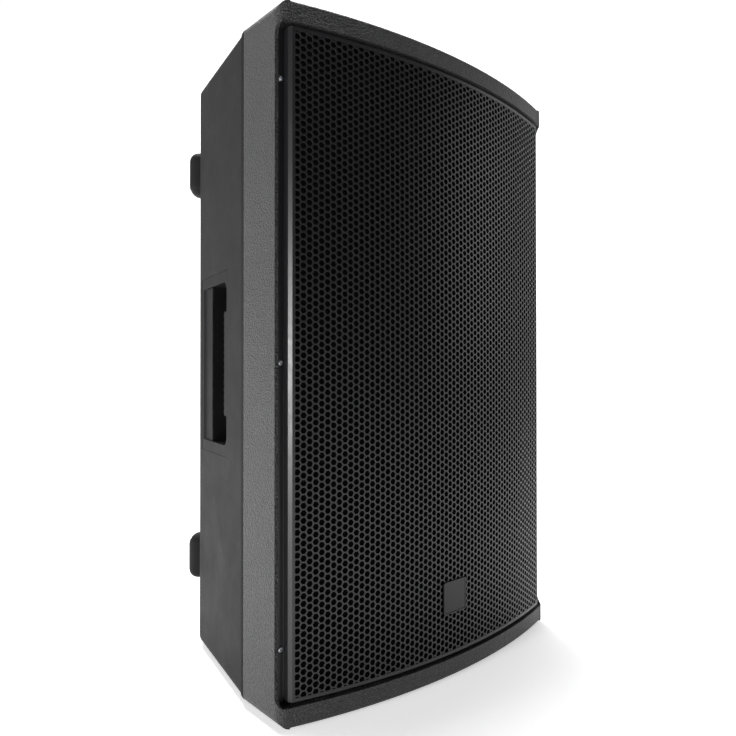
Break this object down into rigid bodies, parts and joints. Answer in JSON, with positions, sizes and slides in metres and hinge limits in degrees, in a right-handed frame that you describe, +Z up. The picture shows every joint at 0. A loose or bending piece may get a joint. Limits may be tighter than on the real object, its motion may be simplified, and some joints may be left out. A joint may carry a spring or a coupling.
{
  "type": "loudspeaker cabinet",
  "caption": "Upright two-way active loudspeaker cabinet with a bowed perforated grille, recessed side handles, a pole socket and an amplifier panel.",
  "frame": {"origin": "middle of the footprint, on the floor under the feet", "axes": "+Z up, +Y from the grille towards the amplifier panel, +X towards the right seen from the front"},
  "size_m": [0.43, 0.377, 0.713],
  "materials": {
    "front_plastic": "fine leather-like grain",
    "shell_plastic": "smooth satin",
    "handle_plastic": "smooth satin",
    "grille_paint": "fine powder coat",
    "acoustic_foam": "open-cell foam",
    "rubber_black": "matt",
    "screw_steel": "bright zinc",
    "black_screw": "black zinc",
    "badge_plastic": "polished",
    "cast_frame": "black painted casting",
    "cone_paper": "pressed pulp",
    "roll_cloth": "doped cloth",
    "spider_cloth": "impregnated cotton",
    "copper_wire": "lacquered copper",
    "ferrite": "sintered",
    "plated_steel": "zinc plated",
    "horn_plastic": "satin",
    "dome_metal": "spun foil",
    "panel_paint": "fine powder coat",
    "sink_metal": "black anodised",
    "knob_plastic": "satin",
    "button_plastic": "satin",
    "lamp_lens": "clear tinted",
    "socket_plastic": "satin",
    "contact_metal": "plated",
    "board_laminate": "lacquered",
    "core_lacquer": "lacquered",
    "can_sleeve": "shrunk sleeve"
  },
  "bodies": {
    "cabinet": {"front_frame": "front_plastic", "rear_shell": "shell_plastic", "seam_gasket": "rubber_black", "frame_screws": "black_screw", "base_feet": "rubber_black", "rear_feet": "shell_plastic", "side_handle_left": "handle_plastic", "side_handle_right": "handle_plastic", "grille": "grille_paint", "grille_foam": "acoustic_foam", "grille_screws": "screw_steel", "badge": "badge_plastic", "woofer_basket": "cast_frame", "woofer_gasket": "rubber_black", "woofer_surround": "roll_cloth", "woofer_spider": "spider_cloth", "woofer_top_plate": "plated_steel", "woofer_magnet": "ferrite", "woofer_yoke": "plated_steel", "woofer_screws": "black_screw", "woofer_terminals": "contact_metal", "horn_flare": "horn_plastic", "horn_screws": "black_screw", "driver_front_plate": "plated_steel", "driver_magnet": "ferrite", "driver_top_plate": "plated_steel", "driver_phase_plug": "plated_steel", "driver_suspension": "roll_cloth", "driver_cap": "horn_plastic", "port_tubes": "horn_plastic", "pole_socket": "cast_frame", "pole_socket_screws": "black_screw", "amp_panel": "panel_paint", "heat_sink": "sink_metal", "panel_screws": "black_screw", "input_jacks": "socket_plastic", "link_jack": "socket_plastic", "jack_contacts": "contact_metal", "potentiometers": "plated_steel", "status_lamps": "lamp_lens", "mains_inlet": "socket_plastic", "mains_pins": "contact_metal", "switch_housing": "socket_plastic", "amp_board": "board_laminate", "board_pillars": "plated_steel", "transformer": "core_lacquer", "reservoir_capacitors": "can_sleeve", "power_stage": "plated_steel"},
    "woofer_motion": {"woofer_cone": "cone_paper", "dust_cap": "cone_paper", "voice_coil": "copper_wire"},
    "dome_motion": {"driver_dome": "dome_metal"},
    "input_one_knob": {"input_one_knob": "knob_plastic"},
    "input_two_knob": {"input_two_knob": "knob_plastic"},
    "tone_knob": {"tone_knob": "knob_plastic"},
    "master_knob": {"master_knob": "knob_plastic"},
    "line_button": {"line_button": "button_plastic"},
    "contour_button": {"contour_button": "button_plastic"},
    "power_rocker": {"power_rocker": "socket_plastic"}
  },
  "joints": [
    {"name": "woofer_stroke", "type": "slide", "parent": "cabinet", "child": "woofer_motion", "axis": [0, 1, 0], "range_m": [-0.006, 0.006], "stiffness_N_per_m": 4000, "deforming": ["woofer_surround", "woofer_spider"]},
    {"name": "dome_stroke", "type": "slide", "parent": "cabinet", "child": "dome_motion", "axis": [0, 1, 0], "range_m": [-0.0004, 0.0004], "stiffness_N_per_m": 5000, "deforming": ["driver_suspension"]},
    {"name": "input_one_knob_turn", "type": "hinge", "parent": "cabinet", "child": "input_one_knob", "pos_m": [-0.054, 0.1705, 0.268], "axis": [0, 1, 0], "range_deg": [-150, 150]},
    {"name": "input_two_knob_turn", "type": "hinge", "parent": "cabinet", "child": "input_two_knob", "pos_m": [-0.018, 0.1705, 0.268], "axis": [0, 1, 0], "range_deg": [-150, 150]},
    {"name": "tone_knob_turn", "type": "hinge", "parent": "cabinet", "child": "tone_knob", "pos_m": [0.018, 0.1705, 0.268], "axis": [0, 1, 0], "range_deg": [-150, 150]},
    {"name": "master_knob_turn", "type": "hinge", "parent": "cabinet", "child": "master_knob", "pos_m": [0.054, 0.1705, 0.268], "axis": [0, 1, 0], "range_deg": [-150, 150]},
    {"name": "line_button_press", "type": "slide", "parent": "cabinet", "child": "line_button", "axis": [0, -1, 0], "range_m": [0, 0.0025], "stiffness_N_per_m": 300, "springref_m": -0.001},
    {"name": "contour_button_press", "type": "slide", "parent": "cabinet", "child": "contour_button", "axis": [0, -1, 0], "range_m": [0, 0.0025], "stiffness_N_per_m": 300, "springref_m": -0.001},
    {"name": "rocker_tilt", "type": "hinge", "parent": "cabinet", "child": "power_rocker", "pos_m": [0.038, 0.1675, 0.165], "axis": [1, 0, 0], "range_deg": [0, 10]}
  ]
}
